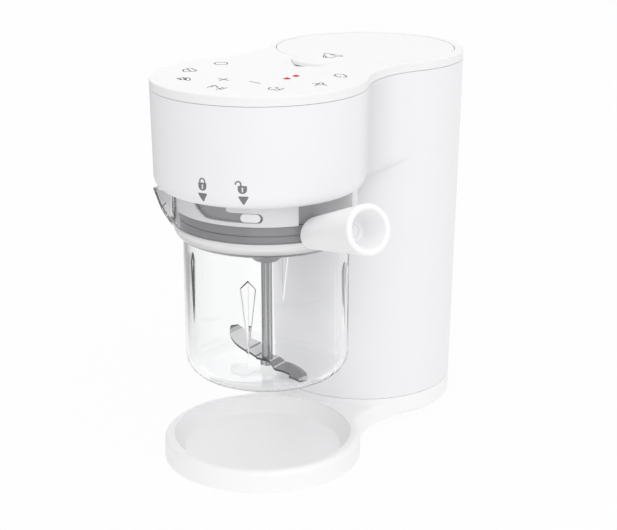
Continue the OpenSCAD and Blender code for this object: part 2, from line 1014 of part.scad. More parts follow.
module bayonet_socket() {
    color("#8f9297")
    translate(jar_axis)
        difference() {
            union() {
                translate([0, 0, socket_z])
                    cylinder(r = skirt_r, h = 3);
                translate([0, 0, skirt_z])
                    tube(skirt_r, skirt_r - 3, socket_z - skirt_z + 1);
                translate([0, 0, socket_z - 2])
                    tube(17, 14, 3);
            }
            translate([0, 0, socket_z - 4])
                cylinder(r = 14, h = 10);
            ring(4, socket_screw_r, 0) {
                translate([0, 0, socket_z - 1])
                    cylinder(r = 1.8, h = 6);
                translate([0, 0, socket_z - 1])
                    cylinder(r = 3.3, h = 2.4);
            }
            translate(nozzle_at - jar_axis + [0, 0, socket_z - 1])
                cylinder(r = 4.3, h = 6);
            for (a = [0, 180])
                azimuth(lug_azimuth + a)
                    translate([skirt_r - 6, 0, lug_z])
                        rotate([0, 90, 0])
                            cylinder(r = 1.6, h = 10);
        }
}

module socket_screws() {
    color("#8d9095")
    translate(jar_axis)
        ring(4, socket_screw_r, 0)
            translate([0, 0, socket_z - 0.8])
                screw(3, 2, 1.55, 8.5);
}

module socket_seal() {
    color("#7d8085")
    translate(jar_axis + [0, 0, lid_top + 0.4])
        tube(skirt_r - 0.3, skirt_r - 2.8, skirt_z - lid_top - 0.4);
}

module lock_lugs() {
    color("#f4f4f6")
    translate(jar_axis)
        for (a = [0, 180])
            azimuth(lug_azimuth + a)
                translate([0, 0, lug_z]) {
                    difference() {
                        translate([skirt_r - 2, 0, 0])
                            rotate([0, 90, 0])
                                linear_extrude(height = 3.5) {
                                    square([lug_h, lug_w - lug_h], center = true);
                                    for (s = [-1, 1])
                                        translate([0, s * (lug_w - lug_h) / 2])
                                            circle(d = lug_h);
                                }
                        translate([0, 0, -10])
                            cylinder(r = skirt_r, h = 20);
                    }
                    translate([skirt_r - 2.9, 0, 0])
                        rotate([0, 90, 0])
                            cylinder(r = 1.5, h = 4);
                }
}

module steam_nozzle() {
    color("#d2d5d8")
    translate(nozzle_at)
        difference() {
            union() {
                translate([0, 0, socket_z - 2])
                    cylinder(r = 4, h = floor_z - socket_z + 3);
                translate([0, 0, floor_z])
                    cylinder(r = 7, h = 3);
                translate([0, 0, floor_z + 2])
                    cylinder(r = 3, h = 14);
            }
            translate([0, 0, socket_z - 3])
                cylinder(r = 1.8, h = 40);
        }
}

module reed_switch() {
    color("#26282b")
    translate(jar_axis + [0, 0, floor_z])
        azimuth(-35)
            translate([47, -9, 0])
                difference() {
                    cube([7, 18, 7]);
                    translate([2, -1, 5])
                        cube([3, 20, 3]);
                }
}

// Jar

// one kite-shaped rib on the inner wall: a thin steep rim round four shallow facets
module kite() {
    z = shoulder_z - 29;
    tail = 44;
    rim = [[0, 5.5], [-5, 0], [0, -tail], [5, 0]];
    face = [[0, 4.3], [-4.2, -0.1], [0, 6 - tail], [4.2, -0.1]];
    function inside(y) = sqrt(pow(body_in, 2) - pow(y, 2));
    side = [for (k = [0 : 3]) each [[k, (k + 1) % 4, 4 + (k + 1) % 4], [k, 4 + (k + 1) % 4, 4 + k],
                                    [4 + k, 4 + (k + 1) % 4, 8], [k, 9 + k, 9 + (k + 1) % 4],
                                    [k, 9 + (k + 1) % 4, (k + 1) % 4]]];
    polyhedron(points = concat([for (p = rim) [inside(p[0]) - 0.15, p[0], z + p[1]]],
                               [for (p = face) [inside(p[0]) - 1.1, p[0], z + p[1]]],
                               [[body_in - 2.2, 0, z - 1.5]],
                               [for (p = rim) [body_in + 1.2, p[0], z + p[1]]]),
               faces = concat(side, [[12, 11, 10], [12, 10, 9]]));
}

// section of the jar's body, shoulder and neck
module jar_section() {
    s = jar_neck_radius - 9;
    difference() {
        union() {
            translate([0, jar_foot + corner_r])
                square([jar_radius, shoulder_z - jar_foot - corner_r]);
            translate([0, jar_foot])
                square([jar_radius - corner_r, corner_r + eps]);
            intersection() {
                translate([jar_radius - corner_r, jar_foot + corner_r])
                    circle(r = corner_r);
                translate([jar_radius - corner_r - eps, jar_foot])
                    square([corner_r + 1, corner_r + eps]);
            }
            intersection() {
                translate([s, shoulder_z])
                    circle(r = 9);
                translate([s, shoulder_z - 10])
                    square([10, 10]);
            }
            translate([0, shoulder_z - eps])
                square([jar_neck_radius, neck_top - shoulder_z + eps]);
        }
        translate([-1, jar_foot + corner_r])
            square([body_in + 1, shoulder_z - jar_foot]);
        translate([-1, jar_foot + jar_wall])
            square([jar_radius - corner_r + 1, corner_r]);
        translate([jar_radius - corner_r, jar_foot + corner_r])
            circle(r = corner_r - jar_wall);
        polygon([[body_in - 1, shoulder_z - 6], [body_in, shoulder_z - 6],
                 [neck_in - 5, shoulder_z - 4], [neck_in - 5, ledge_z + 1],
                 [body_in - 1, ledge_z + 1]]);
        translate([-1, ledge_z])
            square([neck_in + 1, 60]);
    }
}

// the pouring lip: a trough with a V plan and an underside that steepens outwards
module lip(t) {
    n = jar_neck_radius;
    tip = n + 13.2;
    top = shoulder_z + 20.2;
    intersection() {
        translate([0, 0, shoulder_z - 4])
            linear_extrude(height = top + t - shoulder_z + 4)
                polygon([[n - 8, -15 + t], [n - 1.5, -15 + t], [tip - 1.5 * t, 0],
                         [n - 1.5, 15 - t], [n - 8, 15 - t]]);
        translate([-0.6 * t, 20, 1.1 * t])
            rotate([90, 0, 0])
                linear_extrude(height = 40)
                    polygon([[n - 9, shoulder_z], [n, shoulder_z], [n + 7.3, shoulder_z + 7.5],
                             [tip + 1, shoulder_z + 21.5], [tip + 1, top + 9], [n - 9, top + 9]]);
    }
}

module jar() {
    color("#dfe6ea", 0.35)
    translate(jar_axis)
        difference() {
            union() {
                rotate_extrude()
                    jar_section();
                for (k = [0 : 3])
                    azimuth(22 + 90 * k)
                        kite();
                azimuth(-61)
                    difference() {
                        lip(0);
                        translate([0, 0, shoulder_z - 10])
                            cylinder(r = neck_in + 1, h = 60);
                        lip(2);
                    }
                azimuth(handle_azimuth)
                    difference() {
                        translate([jar_neck_radius, 0, handle_z])
                            rotate([0, 90 - handle_rise, 0])
                                difference() {
                                    translate([0, 0, -2])
                                        cylinder(r = 5.3, h = 13);
                                    translate([0, 0, 3])
                                        cylinder(r = 1.7, h = 12);
                                }
                        translate([0, 0, shoulder_z - 10])
                            cylinder(r = neck_in + 1, h = 60);
                    }
            }
            azimuth(-61)
                intersection() {
                    translate([neck_in - 4, -8, lid_top + 1])
                        cube([20, 16, 40]);
                    translate([0, 0, shoulder_z])
                        cylinder(r = jar_neck_radius + 0.5, h = 60);
                }
        }
}

module handle() {
    root_r = 9;
    lip_r = 1.9;
    lip_z = handle_length - lip_r;
    cup_z = handle_length - 17.7;
    color("#f6f6f7")
    translate(jar_axis)
        azimuth(handle_azimuth)
            difference() {
                translate([jar_neck_radius, 0, handle_z])
                    rotate([0, 90 - handle_rise, 0])
                        difference() {
                            rotate_extrude() {
                                polygon([[0, -8], [root_r, -8], [handle_end_radius, lip_z], [0, lip_z]]);
                                translate([handle_end_radius - lip_r, lip_z])
                                    circle(r = lip_r);
                            }
                            translate([0, 0, cup_z])
                                cylinder(r1 = 6.8, r2 = handle_end_radius - 2 * lip_r, h = lip_z - cup_z + eps);
                            translate([0, 0, -9])
                                cylinder(r = 5.6, h = 20.3);
                            translate([0, 0, 9])
                                cylinder(r = 1.8, h = 20);
                            translate([0, 0, 20])
                                cylinder(r = 4, h = handle_length - 30);
                        }
                translate([0, 0, shoulder_z - 40])
                    cylinder(r = jar_neck_radius + eps, h = 90);
            }
}

module handle_screw() {
    color("#8d9095")
    translate(jar_axis)
        azimuth(handle_azimuth)
            translate([jar_neck_radius, 0, handle_z])
                rotate([0, 90 - handle_rise, 0])
                    translate([0, 0, 22.4])
                        mirror([0, 0, 1])
                            screw(3.4, 2.4, 1.5, 16);
}

// outline of the J-slot, seen from outside on the flat of the track
module slot_plan() {
    r = track_out;
    e = lug_azimuth + 7.3;
    z1 = lug_z - lug_h / 2 - 0.35;
    z2 = lug_z + lug_h / 2 + 0.45;
    top = neck_top + 2;
    function u(a) = r * sin(a - 8);
    left = lug_azimuth - turn_angle - 8.6;
    polygon([[u(left), z1 + 0.5], [u(left - 4), z1 + 2.6], [u(left - 8), z1 + 5.8],
             [u(left - 12), top], [u(9.5), top], [u(10.5), z2 + 0.6], [u(13), z2], [u(e - 2.9), z2],
             [u(e - 2.9), z1], [u(left + 4), z1]]);
    translate([u(e - 2.9), (z1 + z2) / 2])
        circle(d = z2 - z1);
}

module lock_tracks() {
    color("#f4f4f6")
    translate(jar_axis)
        for (k = [0, 180])
            rotate([0, 0, k])
                difference() {
                    intersection() {
                        translate([0, 0, track_z])
                            tube(track_out, track_in, neck_top - track_z);
                        azimuth(0)
                            translate([0, 0, track_z - 1])
                                linear_extrude(height = 40)
                                    polygon([[0, 0], [80, -80 * tan(51)], [80, 80 * tan(55)]]);
                    }
                    azimuth(8)
                        rotate([90, 0, 90])
                            translate([0, 0, track_in - 8])
                                linear_extrude(height = 14)
                                    slot_plan();
                }
}

module jar_lid() {
    hub_r = shaft_radius + 3;
    color("#8b8e93")
    translate(jar_axis)
        difference() {
            union() {
                rotate_extrude() {
                    translate([dish_r - 4, rim_z])
                        square([track_in - 0.3 - dish_r + 4, lid_top - rim_z]);
                    translate([dish_r - 3, dish_z])
                        square([3, lid_top - dish_z]);
                    translate([0, dish_z])
                        square([dish_r, 3]);
                    polygon([[0, hub_z], [hub_r - 0.8, hub_z], [hub_r + 1.4, hub_z + 1], [hub_r + 4.4, hub_z + 3.6],
                             [hub_r + 8, hub_z + 12], [hub_r + 10.5, dish_z + eps], [0, dish_z + eps]]);
                    translate([0, dish_z + 2])
                        square([9, bush_top - dish_z - 2.6]);
                }
                ring(6, 0, 40)
                    translate([8, -1, dish_z + 2])
                        cube([dish_r - 10, 2, 3.4]);
            }
            translate([0, 0, hub_z - 1])
                cylinder(r = shaft_radius + 1.5, h = 80);
            translate(nozzle_at - jar_axis + [0, 0, dish_z - 1])
                cylinder(r = 4.5, h = 6);
            azimuth(-35)
                translate([dish_r + 1.4, 0, lid_top - 3])
                    cylinder(r = 2.5, h = 4);
        }
}

module lid_gasket() {
    color("#5e6166")
    translate(jar_axis + [0, 0, ledge_z])
        difference() {
            tube(track_in - 0.3, dish_r + 0.1, gasket_h);
            translate([0, 0, gasket_h - 0.9])
                tube(track_in + 1, track_in - 0.9, 0.6);
        }
}

module shaft_bush() {
    color("#b08d57")
    translate(jar_axis + [0, 0, hub_z - 0.2])
        difference() {
            cylinder(r = shaft_radius + 1.48, h = bush_top - hub_z);
            translate([0, 0, -1])
                cylinder(r = shaft_radius + 0.05, h = 80);
        }
}

module interlock_magnet() {
    color("#c4c7cb")
    translate(jar_axis)
        azimuth(-35)
            translate([dish_r + 1.4, 0, lid_top - 3])
                cylinder(r = 2.45, h = 2.9);
}

// Blade

module blade_shaft() {
    color("#c9ccd0")
    translate(jar_axis) {
        translate([0, 0, blade_z - 3.6])
            cylinder(r = 2.5, h = blade_t + 4);
        translate([0, 0, blade_z + blade_t])
            cylinder(r = shaft_radius, h = dog_z + dog_h - 1.6 - blade_z - blade_t);
    }
}

// plan of one wing: a curved back, a saw edge in front and a bite before the tip
module wing_plan() {
    difference() {
        intersection() {
            circle(r = blade_radius);
            translate([6.2, -28.9])
                circle(r = 36.6);
            polygon([[0, -5.2], [4.9, -5.2], [13.1, -10.2], [21, -10.4], [21, -17], [30, -16.6],
                     [44, -20.5], [44, 20], [13, 20], [10.5, 5.6], [6.4, 4], [5, 5.2], [0, 5.2]]);
        }
        translate([21.5, -17.2])
            circle(r = 6.6);
        for (x = [14.6 : 2.2 : 20])
            translate([x, -10.9])
                circle(r = 1.1);
    }
}

// the sheet before it is cut out: bent down on the right and up on the left, with four creases
module bent_sheet() {
    bends = [[-46, 16.4], [-26, 8.4], [-12, 4], [-6, 0], [6, 0], [11.5, -2.4], [46, -3]];
    translate([0, 30, blade_t])
        rotate([90, 0, 0])
            linear_extrude(height = 60)
                polygon(concat(bends, [for (k = [6 : -1 : 0]) bends[k] - [0, blade_t]]));
}

module blade() {
    color("#c9ccd0")
    translate(jar_axis + [0, 0, blade_z])
        difference() {
            intersection() {
                bent_sheet();
                translate([0, 0, -10])
                    linear_extrude(height = 40)
                        for (a = [0, 180])
                            rotate([0, 0, a])
                                wing_plan();
            }
            translate([0, 0, -3])
                cylinder(r = 2.55, h = 8);
            translate([6.2, -28.9, blade_t - 2.9])
                rotate_extrude()
                    polygon([[33.4, 0.1], [37.4, -1.3], [37.4, 3], [33.4, 3]]);
        }
}

module blade_nut() {
    color("#b9bcc0")
    translate(jar_axis + [0, 0, blade_z - 3.6])
        difference() {
            cylinder(r = 5, h = 3.6, $fn = 6);
            translate([0, 0, -1])
                cylinder(r = 2.52, h = 8);
        }
}

base_shell();
foot_rings();
base_screws();
chassis();
chassis_screws();
body_shell();
top_panel();
control_board();
board_screws();
touch_springs();
light_pipes();
water_tank();
tank_lid();
lid_seal();
feed_hose();
water_pump();
pump_mount();
delivery_hose();
steam_boiler();
boiler_mount();
thermal_cutout();
steam_hose();
steam_nozzle();
motor_can();
motor_magnets();
motor_mount();
motor_dampers();
motor_screws();
armature();
drive_coupling();
bayonet_socket();
socket_screws();
socket_seal();
lock_lugs();
reed_switch();
power_board();
cord_gland();
jar();
lock_tracks();
handle();
handle_screw();
jar_lid();
lid_gasket();
shaft_bush();
interlock_magnet();
driven_coupling();
blade_shaft();
blade();
blade_nut();
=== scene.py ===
import math

import bmesh
import bpy
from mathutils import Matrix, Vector
from mathutils.bvhtree import BVHTree


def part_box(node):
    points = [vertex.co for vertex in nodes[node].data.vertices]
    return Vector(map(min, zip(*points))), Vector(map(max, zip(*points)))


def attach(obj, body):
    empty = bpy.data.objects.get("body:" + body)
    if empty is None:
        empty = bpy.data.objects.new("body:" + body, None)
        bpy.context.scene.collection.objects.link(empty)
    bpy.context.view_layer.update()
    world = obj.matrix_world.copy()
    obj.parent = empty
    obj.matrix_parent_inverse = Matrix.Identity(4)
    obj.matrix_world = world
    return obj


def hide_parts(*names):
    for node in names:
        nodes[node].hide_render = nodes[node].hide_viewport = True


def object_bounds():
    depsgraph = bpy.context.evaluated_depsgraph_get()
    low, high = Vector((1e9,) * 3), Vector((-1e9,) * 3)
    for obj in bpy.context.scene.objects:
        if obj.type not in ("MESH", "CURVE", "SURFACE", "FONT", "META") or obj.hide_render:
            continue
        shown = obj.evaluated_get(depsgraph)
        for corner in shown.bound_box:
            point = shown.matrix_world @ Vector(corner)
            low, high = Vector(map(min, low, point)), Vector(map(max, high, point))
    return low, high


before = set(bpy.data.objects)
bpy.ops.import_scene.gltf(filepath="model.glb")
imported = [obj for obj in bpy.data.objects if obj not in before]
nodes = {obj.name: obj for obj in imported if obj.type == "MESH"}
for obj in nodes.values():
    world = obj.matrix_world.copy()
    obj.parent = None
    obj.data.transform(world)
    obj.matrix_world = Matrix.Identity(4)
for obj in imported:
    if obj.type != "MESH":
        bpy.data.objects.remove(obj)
cad_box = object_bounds()
MM = 0.001

# Places on the object, in metres: two from the frame, the rest as in the part's source
panel_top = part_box("top_panel")[1].z
head_radius = -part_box("body_shell")[0].y
jar_axis = Vector((0.0, 6 * MM, 0.0))
jar_inside = 50 * MM
jar_neck = 58.2 * MM
jar_floor = 60 * MM
kite_low, kite_high = 90 * MM, 132 * MM
kite_planes = ((0.3746, -0.9272, 0.0), (0.9272, 0.3746, 0.0))
handle_axis = Vector((0.86988, -0.40563, 0.28067))
cup_floor = Vector((90.587, -36.241, 175.009)) * MM

# Places of painted light and shade that the photograph shows, in metres: the jar shoulder's painted
# band and the painted shade in the body's waist
shoulder_low, shoulder_high = 150.2 * MM, 158.4 * MM
waist_y = 43 * MM
waist_reach = 34 * MM
waist_from = 48 * MM

# The direction that points right in the photograph
picture_right = (0.835, 0.551, 0.0)


def put(name, data):
    """A new object in the scene."""
    made = bpy.data.objects.new(name, data)
    bpy.context.scene.collection.objects.link(made)
    return made


# Shader graphs


class Value:
    """A number, colour or vector on a socket. Sums and products of it add Math nodes."""

    def __init__(self, graph, socket):
        self.graph = graph
        self.socket = socket

    def __add__(self, other):
        return self.graph.math("ADD", self, other)

    def __sub__(self, other):
        return self.graph.math("SUBTRACT", self, other)

    def __rsub__(self, other):
        return self.graph.math("SUBTRACT", other, self)

    def __mul__(self, other):
        return self.graph.math("MULTIPLY", self, other)

    __radd__ = __add__
    __rmul__ = __mul__


class Graph:
    """The nodes of one material, or of the world."""

    # An edge of colour goes from 0 to 1 over a third of a millimetre
    sharpness = 3000

    def __init__(self, owner):
        owner.use_nodes = True
        self.tree = owner.node_tree
        self.tree.nodes.clear()

    def add(self, kind, settings, inputs, output=0):
        """Adds a node with its settings, then sets or links its inputs."""
        made = self.tree.nodes.new("ShaderNode" + kind)
        for name, value in settings.items():
            setattr(made, name, value)
        for name, value in inputs.items():
            if isinstance(value, Value):
                self.tree.links.new(value.socket, made.inputs[name])
            else:
                made.inputs[name].default_value = value
        return Value(self, made.outputs[output]) if made.outputs else made

    def math(self, operation, a, b):
        return self.add("Math", {"operation": operation}, {0: a, 1: b})

    def absolute(self, value):
        return self.math("ABSOLUTE", value, 0.0)

    def clamp(self, value, low=0.0, high=1.0):
        return self.add("Clamp", {}, {"Value": value, "Min": low, "Max": high})

    def past(self, value):
        """0 below zero and 1 above it, with a sharp edge."""
        return self.clamp(value * self.sharpness)

    def within(self, value, low, high):
        return self.past(value - low) * self.past(high - value)

    def near(self, value, target, half_width, top=1.0):
        """Highest where a value is at its target, falling to 0 on both sides of it."""
        return self.clamp(top - self.absolute(value - target) * (1 / half_width))

    def blend(self, mask, low, high):
        """A colour between two others."""
        return self.add("Mix", {"data_type": "RGBA"}, {0: mask, 6: low, 7: high}, 2)

    def axis(self, vector, name):
        return self.add("SeparateXYZ", {}, {0: vector}, name)

    def dot(self, vector, direction):
        settings = {"operation": "DOT_PRODUCT"}
        return self.add("VectorMath", settings, {0: vector, 1: direction}, "Value")

    def rays(self, *kinds):
        """1 for each kind of ray that is being traced, and 0 for the others."""
        path = self.tree.nodes.new("ShaderNodeLightPath")
        return [Value(self, path.outputs[f"Is {kind} Ray"]) for kind in kinds]


class Finish(Graph):
    """A material that reads the place on the object."""

    def __init__(self, name):
        self.material = bpy.data.materials.new(name)
        super().__init__(self.material)
        self.place = self.add("TexCoord", {}, {}, "Object")

    def grain(self, size, detail=2.0, stretch=(1, 1, 1)):
        """Noise from 0 to 1 whose grains are about size metres wide."""
        place = self.add("Mapping", {}, {"Vector": self.place, "Scale": stretch})
        return self.add("TexNoise", {}, {"Vector": place, "Scale": 1 / size, "Detail": detail}, 0)

    def bump(self, height, depth):
        """The normal of a surface whose relief is depth metres deep."""
        return self.add("Bump", {}, {"Height": height, "Distance": depth, "Strength": 1.0})

    def shade(self, inputs):
        surface = self.add("BsdfPrincipled", {}, inputs)
        self.add("OutputMaterial", {}, {"Surface": surface})
        return self.material

    def let_light_through(self, surface):
        """Lets the light of the room reach what is behind a clear wall."""
        shadow, diffuse = self.rays("Shadow", "Diffuse")
        lit = self.clamp(shadow + diffuse)
        open_way = self.add("BsdfTransparent", {}, {"Color": rgb(1, 1, 1)})
        mixed = self.add("MixShader", {}, {0: lit, 1: surface, 2: open_way})
        self.add("OutputMaterial", {}, {"Surface": mixed})
        return self.material


def rgb(r, g, b):
    return (r, g, b, 1.0)


# Finishes

line_size = 0.35 * MM
metal_relief = 0.003 * MM
line_roughness = 0.12


def moulded(name, dark, light, rough, spread=0.05, grain=0.5 * MM, depth=0.004 * MM,
            waist_shade=0.0, **constants):
    """Moulded plastic or rubber: a fine skin over slow changes of tone, with painted shade in the
    concave waist between head and column, as strong as asked.
    """
    f = Finish(name)
    tone = f.grain(35 * MM, 3.0)
    skin = f.grain(grain, 2.0)
    colour = f.blend(tone, dark, light)
    if waist_shade:
        across, along = [f.axis(f.place, axis) for axis in "XY"]
        # Painted shade: the body's sides are darkened in a band across the concave waist, standing
        # in for the shade that falls there
        outside = f.clamp((f.absolute(across) - waist_from) * 500)
        painted_waist_shade = f.near(along, waist_y, waist_reach) * outside * waist_shade
        colour = f.blend(painted_waist_shade, colour, rgb(0, 0, 0))
    inputs = {
        "Base Color": colour,
        "Roughness": rough + (f.grain(9 * MM, 3.0) - 0.5) * (2 * spread),
        "Normal": f.bump(skin, depth),
    }
    inputs.update(constants)
    return f.shade(inputs)


def brushed(name, dark, light, rough, stretch, depth=metal_relief):
    """Metal with fine brush lines along one direction."""
    f = Finish(name)
    lines = f.grain(line_size, 3.0, stretch)
    tone = f.grain(6 * MM, 2.0)
    return f.shade({
        "Base Color": f.blend(lines * 0.7 + tone * 0.3, dark, light),
        "Metallic": 1.0,
        "Roughness": rough + lines * line_roughness,
        "Normal": f.bump(lines, depth),
    })


# Along the blade, in millimetres: where its painted sheen changes and by how much, and its bends'
# painted light and dark lines
blade_end_painted_sheen = 0.6
blade_painted_facet_sheen = ((-33, 0.4), (-6, -0.6), (6, -0.05), (11.5, -0.1), (35.5, 0.4))
blade_painted_crease_lines = ((-12, -0.8), (-6, -0.8), (6, 0.6), (11.5, 0.6))
crease_half = 0.6 * MM
# Where the rising wing's tip starts to be painted dark, and where the wing that is painted pale
# begins
painted_dark_tip_start = -36.5 * MM
wing_root = -6 * MM


def blade_steel(name):
    """Bent sheet steel with painted light and shade: each facet has its own painted sheen, the
    bends carry painted light and dark lines, the steep cut edges and the rising wing's tip are
    painted dark, and the rising wing is painted pale and not metallic.
    """
    f = Finish(name)
    along = f.axis(f.place, "X")
    upward = f.absolute(f.axis(f.add("TexCoord", {}, {}, "Normal"), "Z"))
    lines = f.grain(line_size, 3.0, (1, 0.05, 1))
    painted_sheen = blade_end_painted_sheen
    for bend, change in blade_painted_facet_sheen:
        painted_sheen = painted_sheen + f.past(along - bend * MM) * change
    for bend, change in blade_painted_crease_lines:
        painted_sheen = painted_sheen + f.near(along, bend * MM, crease_half, 1.4) * change
    # Painted shade: steep faces, which are the sheet's cut edges, are darkened, and so is the
    # rising wing's tip
    painted_cut_edge_shade = f.clamp((0.5 - upward) * 8)
    painted_tip_shade = f.clamp((painted_dark_tip_start - along) * 1200)
    dark = f.clamp(painted_cut_edge_shade + painted_tip_shade * 0.9)
    # Painted light: the rising wing is made pale and not metallic
    painted_pale_wing = f.past(wing_root - along) * (1 - dark)
    tone = f.clamp(painted_sheen + (lines - 0.5) * 0.25 - dark)
    return f.shade({
        "Base Color": f.blend(tone, rgb(0.07, 0.07, 0.073), rgb(0.96, 0.96, 0.97)),
        "Metallic": 1 - painted_pale_wing,
        "Roughness": 0.12 + lines * line_roughness,
        "Normal": f.bump(lines, metal_relief),
    })


def shaft_steel(name):
    """A ground shaft whose streaks run along it."""
    f = Finish(name)
    streaks = f.grain(1.6 * MM, 2.0, (1, 1, 0.01))
    tone = f.clamp(0.32 + (streaks - 0.5) * 1.7)
    return f.shade({
        "Base Color": f.blend(tone, rgb(0.15, 0.15, 0.155), rgb(0.84, 0.845, 0.855)),
        "Metallic": 1.0,
        "Roughness": 0.12 + streaks * line_roughness,
        "Normal": f.bump(streaks, metal_relief),
    })


def jar_clear(name):
    """Clear jar plastic with a milky shoulder band of level streaks, painted lighter near its top
    and grey below, with painted dark lines along both its edges and on the kites' ridges.
    """
    f = Finish(name)
    haze = f.grain(14 * MM, 3.0)
    height = f.axis(f.place, "Z")
    from_axis = f.add("VectorMath", {"operation": "SUBTRACT"}, {0: f.place, 1: jar_axis})
    flat = f.add("VectorMath", {"operation": "MULTIPLY"}, {0: from_axis, 1: (1.0, 1.0, 0.0)})
    radius = f.add("VectorMath", {"operation": "LENGTH"}, {0: flat}, "Value")

    # The kites stand on two crossed planes through the jar's axis, and each has a middle ridge,
    # painted as a dark line in place of the dark reflection the ridge shows
    painted_ridge_line = 0.0
    for plane in kite_planes:
        painted_ridge_line = painted_ridge_line + f.near(f.dot(from_axis, plane), 0.0, 0.4 * MM)
    inner = f.past(jar_inside + 0.4 * MM - radius)
    painted_ridge_line = f.clamp(painted_ridge_line * inner * f.within(height, kite_low, kite_high))

    lip = f.past(radius - jar_neck - 0.6 * MM)
    clear = f.blend(haze, rgb(0.99, 0.996, 0.998), rgb(1, 1, 1))
    clear = f.blend(lip, clear, rgb(0.8, 0.8, 0.81))
    clear = f.blend(f.past(jar_floor - height), clear, rgb(0.94, 0.945, 0.95))
    glass = f.add("BsdfPrincipled", {}, {
        "Base Color": f.blend(painted_ridge_line * 0.65, clear, rgb(0.2, 0.2, 0.21)),
        "Roughness": haze * 0.01,
        "Transmission Weight": 1.0,
        "IOR": 1.37,
    })

    streaks = f.grain(1.3 * MM, 2.0, (0.025, 0.025, 1))
    pale = f.blend(streaks, rgb(0.8, 0.8, 0.81), rgb(1, 1, 1))
    # Painted light and shade: the shoulder band is lighter near its top and grey below, and dark
    # lines are painted along both its edges
    lit = f.near(height, shoulder_high - 3 * MM, 6.5 * MM)
    painted_shoulder_light = f.blend(lit, rgb(0.45, 0.45, 0.46), pale)
    low_edge = f.near(height, shoulder_low, 0.8 * MM)
    high_edge = f.near(height, shoulder_high, 0.7 * MM)
    edges = f.clamp(low_edge + high_edge)
    milky = f.add("BsdfPrincipled", {}, {
        "Base Color": f.blend(edges, painted_shoulder_light, rgb(0.08, 0.08, 0.083)),
        "Roughness": 0.15 + streaks * 0.15,
        "Normal": f.bump(streaks, 0.05 * MM),
    })
    band = f.within(height, shoulder_low - 0.3 * MM, shoulder_high + 0.3 * MM)
    wall = f.add("MixShader", {}, {0: band * (0.65 + streaks * 0.35), 1: glass, 2: milky})
    return f.let_light_through(wall)


def circuit(name):
    """A coated board with rows of tracks and pads."""
    f = Finish(name)
    tracks = f.add("TexBrick", {"offset": 0.5}, {
        "Vector": f.place,
        "Color1": rgb(1, 1, 1),
        "Color2": rgb(0.6, 0.6, 0.6),
        "Mortar": rgb(0, 0, 0),
        "Scale": 1 / (9 * MM),
        "Mortar Size": 0.03,
    }, 1)
    tone = f.grain(3 * MM)
    base = f.blend(tone, rgb(0.015, 0.12, 0.05), rgb(0.03, 0.19, 0.085))
    return f.shade({
        "Base Color": f.blend(tracks, base, rgb(0.09, 0.3, 0.13)),
        "Roughness": 0.35 + tracks * 0.1,
        "Normal": f.bump(tracks, 0.03 * MM),
    })


# The body shell carries painted shade in its waist
white_shell = moulded("white_shell", rgb(0.912, 0.908, 0.926), rgb(0.926, 0.922, 0.94), 0.34,
                      waist_shade=0.17)
# A brighter copy of the white plastic: the base, its tray and the handle are painted lighter to
# make up for the shade they lie in
white_base = moulded("white_base", rgb(0.965, 0.965, 0.972), rgb(0.975, 0.975, 0.982), 0.34)
white_panel = moulded("white_panel", rgb(0.92, 0.92, 0.93), rgb(0.93, 0.93, 0.94), 0.36)
white_track = moulded("white_track", rgb(0.765, 0.762, 0.778), rgb(0.79, 0.787, 0.803), 0.4)
grey_socket = moulded("grey_socket", rgb(0.325, 0.325, 0.333), rgb(0.36, 0.36, 0.368), 0.5)
grey_lid = moulded("grey_lid", rgb(0.25, 0.248, 0.262), rgb(0.285, 0.283, 0.297), 0.48)
gasket_rubber = moulded("gasket_rubber", rgb(0.235, 0.233, 0.246), rgb(0.265, 0.263, 0.277),
                        0.6, 0.06)
black_rubber = moulded("black_rubber", rgb(0.02, 0.02, 0.021), rgb(0.034, 0.034, 0.035),
                       0.7, 0.06)
black_plastic = moulded("black_plastic", rgb(0.02, 0.02, 0.022), rgb(0.035, 0.035, 0.038), 0.45)
hose_silicone = moulded("hose_silicone", rgb(0.7, 0.71, 0.71), rgb(0.78, 0.79, 0.79), 0.42)
mineral_board = moulded("mineral_board", rgb(0.42, 0.34, 0.22), rgb(0.56, 0.47, 0.33), 0.85,
                        grain=1.2 * MM, depth=0.06 * MM)
ferrite = moulded("ferrite", rgb(0.03, 0.03, 0.032), rgb(0.06, 0.06, 0.062), 0.65, 0.08,
                  grain=0.8 * MM, depth=0.03 * MM)
ink_grey = moulded("ink_grey", rgb(0.03, 0.03, 0.032), rgb(0.045, 0.045, 0.047), 0.6)
mark_grey = moulded("mark_grey", rgb(0.19, 0.19, 0.197), rgb(0.225, 0.225, 0.232), 0.5)
jar_plastic = jar_clear("jar_plastic")
tank_plastic = moulded("tank_plastic", rgb(0.8, 0.83, 0.85), rgb(0.86, 0.885, 0.9), 0.3,
                       **{"Transmission Weight": 0.15})
steel_shaft = shaft_steel("steel_shaft")
steel_blade = blade_steel("steel_blade")
screw_zinc = brushed("screw_zinc", rgb(0.45, 0.46, 0.48), rgb(0.6, 0.61, 0.63), 0.3, (1, 1, 0.2))
motor_steel = brushed("motor_steel", rgb(0.5, 0.51, 0.53), rgb(0.62, 0.63, 0.65), 0.35,
                      (1, 1, 0.05))
copper = brushed("copper", rgb(0.5, 0.23, 0.1), rgb(0.72, 0.4, 0.22), 0.35, (1, 1, 0.1))
brass = brushed("brass", rgb(0.55, 0.4, 0.16), rgb(0.72, 0.56, 0.28), 0.3, (1, 1, 8))
boiler_cast = brushed("boiler_cast", rgb(0.5, 0.5, 0.51), rgb(0.62, 0.62, 0.63), 0.5, (1, 1, 1),
                      0.03 * MM)
board_green = circuit("board_green")
red_light = moulded("red_light", rgb(0.7, 0.02, 0.015), rgb(0.78, 0.035, 0.025), 0.4, **{
    "Emission Color": rgb(1.0, 0.06, 0.04),
    "Emission Strength": 0.12,
    "Specular IOR Level": 0.1,
})

